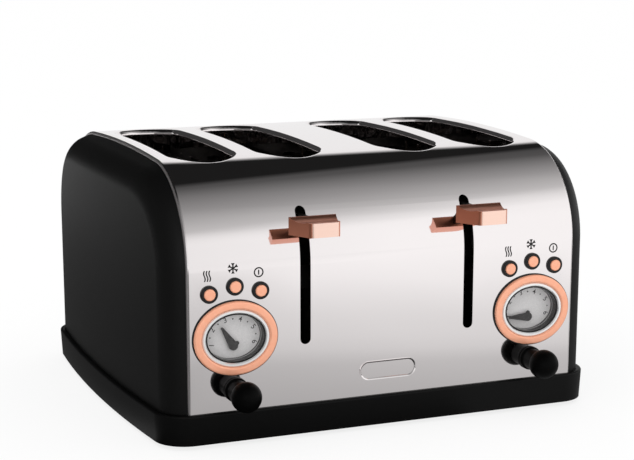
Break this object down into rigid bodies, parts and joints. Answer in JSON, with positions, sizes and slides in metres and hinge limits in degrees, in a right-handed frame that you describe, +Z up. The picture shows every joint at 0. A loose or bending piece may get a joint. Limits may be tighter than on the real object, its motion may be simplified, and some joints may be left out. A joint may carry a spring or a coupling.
{
  "type": "pop-up toaster",
  "caption": "Free-standing pop-up toaster: polished steel wrap between bowed black ends, sprung levers with bread carriages, oval browning dials geared to ball knobs, push buttons.",
  "frame": {"origin": "on the table, under the middle of the body", "axes": "+X to the right seen from the front, the front with levers and dials looks along -Y, +Z up"},
  "size_m": [0.334, 0.331, 0.1867],
  "materials": {
    "polished_steel": "polished stainless sheet",
    "panel_black": "satin moulded",
    "base_black": "fine grain moulded",
    "foot_rubber": "matte",
    "rose_gold": "polished rose gold plating",
    "dial_silver": "polished",
    "dial_black": "satin",
    "dial_grey": "printed satin",
    "needle_grey": "satin",
    "dial_glass": "clear",
    "knob_black": "gloss moulded",
    "collar_black": "satin",
    "sheet_zinc": "zinc plated sheet",
    "wire_steel": "plain wire",
    "mica": "mica board",
    "gear_white": "acetal",
    "circuit_board": "laminate",
    "magnet_iron": "plain"
  },
  "bodies": {
    "toaster_body": {"base_tray": "base_black", "feet": "foot_rubber", "base_screws": "sheet_zinc", "cord_gland": "base_black", "steel_wrap": "polished_steel", "front_bulkhead": "sheet_zinc", "rear_bulkhead": "sheet_zinc", "guide_rods": "wire_steel", "latch_magnets": "magnet_iron", "control_boards": "circuit_board", "end_panel_left": "panel_black", "end_panel_right": "panel_black", "heater_boards_left": "mica", "heater_boards_right": "mica", "return_spring_left": "wire_steel", "return_spring_right": "wire_steel", "dial_bezel_left": "rose_gold", "dial_bezel_right": "rose_gold", "dial_trim_left": "dial_silver", "dial_trim_right": "dial_silver", "dial_cup_left": "dial_black", "dial_cup_right": "dial_black", "dial_face_left": "dial_grey", "dial_face_right": "dial_grey", "dial_lens_left": "dial_glass", "dial_lens_right": "dial_glass", "control_bracket_left": "sheet_zinc", "control_bracket_right": "sheet_zinc", "button_collars_left": "collar_black", "button_collars_right": "collar_black"},
    "carriage_left": {"carriage_left": "sheet_zinc", "bread_racks_left": "wire_steel", "lever_knob_left": "rose_gold"},
    "guard_left_inner_left": {"guard_left_inner_left": "wire_steel"},
    "guard_left_inner_right": {"guard_left_inner_right": "wire_steel"},
    "guard_left_outer_left": {"guard_left_outer_left": "wire_steel"},
    "guard_left_outer_right": {"guard_left_outer_right": "wire_steel"},
    "reheat_button_left": {"reheat_button_left": "rose_gold"},
    "defrost_button_left": {"defrost_button_left": "rose_gold"},
    "cancel_button_left": {"cancel_button_left": "rose_gold"},
    "browning_knob_left": {"browning_knob_left": "knob_black", "browning_spindle_left": "gear_white"},
    "idler_left": {"idler_gear_left": "gear_white"},
    "needle_left": {"dial_needle_left": "needle_grey"},
    "crumb_tray_left": {"crumb_tray_left": "sheet_zinc"},
    "carriage_right": {"carriage_right": "sheet_zinc", "bread_racks_right": "wire_steel", "lever_knob_right": "rose_gold"},
    "guard_right_inner_left": {"guard_right_inner_left": "wire_steel"},
    "guard_right_inner_right": {"guard_right_inner_right": "wire_steel"},
    "guard_right_outer_left": {"guard_right_outer_left": "wire_steel"},
    "guard_right_outer_right": {"guard_right_outer_right": "wire_steel"},
    "reheat_button_right": {"reheat_button_right": "rose_gold"},
    "defrost_button_right": {"defrost_button_right": "rose_gold"},
    "cancel_button_right": {"cancel_button_right": "rose_gold"},
    "browning_knob_right": {"browning_knob_right": "knob_black", "browning_spindle_right": "gear_white"},
    "idler_right": {"idler_gear_right": "gear_white"},
    "needle_right": {"dial_needle_right": "needle_grey"},
    "crumb_tray_right": {"crumb_tray_right": "sheet_zinc"}
  },
  "joints": [
    {"name": "lever_slide_left", "type": "slide", "parent": "toaster_body", "child": "carriage_left", "axis": [0, 0, -1], "range_m": [0, 0.074], "stiffness_N_per_m": 40, "springref_m": -0.15, "deforming": ["return_spring_left"]},
    {"name": "guard_left_inner_left_slide", "type": "slide", "parent": "toaster_body", "child": "guard_left_inner_left", "axis": [1, 0, 0], "range_m": [0, 0.0071]},
    {"name": "guard_left_inner_right_slide", "type": "slide", "parent": "toaster_body", "child": "guard_left_inner_right", "axis": [-1, 0, 0], "range_m": [0, 0.0071]},
    {"name": "guard_left_outer_left_slide", "type": "slide", "parent": "toaster_body", "child": "guard_left_outer_left", "axis": [1, 0, 0], "range_m": [0, 0.0071]},
    {"name": "guard_left_outer_right_slide", "type": "slide", "parent": "toaster_body", "child": "guard_left_outer_right", "axis": [-1, 0, 0], "range_m": [0, 0.0071]},
    {"name": "reheat_press_left", "type": "slide", "parent": "toaster_body", "child": "reheat_button_left", "axis": [0, 1, 0], "range_m": [0, 0.0015], "stiffness_N_per_m": 400, "springref_m": -0.001},
    {"name": "defrost_press_left", "type": "slide", "parent": "toaster_body", "child": "defrost_button_left", "axis": [0, 1, 0], "range_m": [0, 0.0015], "stiffness_N_per_m": 400, "springref_m": -0.001},
    {"name": "cancel_press_left", "type": "slide", "parent": "toaster_body", "child": "cancel_button_left", "axis": [0, 1, 0], "range_m": [0, 0.0015], "stiffness_N_per_m": 400, "springref_m": -0.001},
    {"name": "browning_turn_left", "type": "hinge", "parent": "toaster_body", "child": "browning_knob_left", "pos_m": [-0.10975, -0.1435, 0.0384], "axis": [0, 1, 0], "range_deg": [-70.89, 144.22]},
    {"name": "idler_turn_left", "type": "hinge", "parent": "toaster_body", "child": "idler_left", "pos_m": [-0.10975, -0.133, 0.052], "axis": [0, 1, 0], "range_deg": [-163.25, 80.75]},
    {"name": "needle_turn_left", "type": "hinge", "parent": "toaster_body", "child": "needle_left", "pos_m": [-0.10975, -0.133, 0.0672], "axis": [0, 1, 0], "range_deg": [-59, 119]},
    {"name": "crumb_tray_slide_left", "type": "slide", "parent": "toaster_body", "child": "crumb_tray_left", "axis": [0, 1, 0], "range_m": [0, 0.2]},
    {"name": "lever_slide_right", "type": "slide", "parent": "toaster_body", "child": "carriage_right", "axis": [0, 0, -1], "range_m": [0, 0.074], "stiffness_N_per_m": 40, "springref_m": -0.15, "deforming": ["return_spring_right"]},
    {"name": "guard_right_inner_left_slide", "type": "slide", "parent": "toaster_body", "child": "guard_right_inner_left", "axis": [1, 0, 0], "range_m": [0, 0.0071]},
    {"name": "guard_right_inner_right_slide", "type": "slide", "parent": "toaster_body", "child": "guard_right_inner_right", "axis": [-1, 0, 0], "range_m": [0, 0.0071]},
    {"name": "guard_right_outer_left_slide", "type": "slide", "parent": "toaster_body", "child": "guard_right_outer_left", "axis": [1, 0, 0], "range_m": [0, 0.0071]},
    {"name": "guard_right_outer_right_slide", "type": "slide", "parent": "toaster_body", "child": "guard_right_outer_right", "axis": [-1, 0, 0], "range_m": [0, 0.0071]},
    {"name": "reheat_press_right", "type": "slide", "parent": "toaster_body", "child": "reheat_button_right", "axis": [0, 1, 0], "range_m": [0, 0.0015], "stiffness_N_per_m": 400, "springref_m": -0.001},
    {"name": "defrost_press_right", "type": "slide", "parent": "toaster_body", "child": "defrost_button_right", "axis": [0, 1, 0], "range_m": [0, 0.0015], "stiffness_N_per_m": 400, "springref_m": -0.001},
    {"name": "cancel_press_right", "type": "slide", "parent": "toaster_body", "child": "cancel_button_right", "axis": [0, 1, 0], "range_m": [0, 0.0015], "stiffness_N_per_m": 400, "springref_m": -0.001},
    {"name": "browning_turn_right", "type": "hinge", "parent": "toaster_body", "child": "browning_knob_right", "pos_m": [0.10975, -0.1435, 0.0384], "axis": [0, 1, 0], "range_deg": [-2.44, 212.67]},
    {"name": "idler_turn_right", "type": "hinge", "parent": "toaster_body", "child": "idler_right", "pos_m": [0.10975, -0.133, 0.052], "axis": [0, 1, 0], "range_deg": [-240.25, 3.75]},
    {"name": "needle_turn_right", "type": "hinge", "parent": "toaster_body", "child": "needle_right", "pos_m": [0.10975, -0.133, 0.0672], "axis": [0, 1, 0], "range_deg": [-3, 175]},
    {"name": "crumb_tray_slide_right", "type": "slide", "parent": "toaster_body", "child": "crumb_tray_right", "axis": [0, 1, 0], "range_m": [0, 0.2]}
  ],
  "couplings": [
    {"joint": "guard_left_inner_left_slide", "follows": "lever_slide_left", "ratio": 0.094595},
    {"joint": "guard_left_inner_right_slide", "follows": "lever_slide_left", "ratio": 0.094595},
    {"joint": "guard_left_outer_left_slide", "follows": "lever_slide_left", "ratio": 0.094595},
    {"joint": "guard_left_outer_right_slide", "follows": "lever_slide_left", "ratio": 0.094595},
    {"joint": "idler_turn_left", "follows": "browning_turn_left", "ratio": -1.125},
    {"joint": "needle_turn_left", "follows": "browning_turn_left", "ratio": 0.81818},
    {"joint": "guard_right_inner_left_slide", "follows": "lever_slide_right", "ratio": 0.094595},
    {"joint": "guard_right_inner_right_slide", "follows": "lever_slide_right", "ratio": 0.094595},
    {"joint": "guard_right_outer_left_slide", "follows": "lever_slide_right", "ratio": 0.094595},
    {"joint": "guard_right_outer_right_slide", "follows": "lever_slide_right", "ratio": 0.094595},
    {"joint": "idler_turn_right", "follows": "browning_turn_right", "ratio": -1.125},
    {"joint": "needle_turn_right", "follows": "browning_turn_right", "ratio": 0.81818}
  ]
}
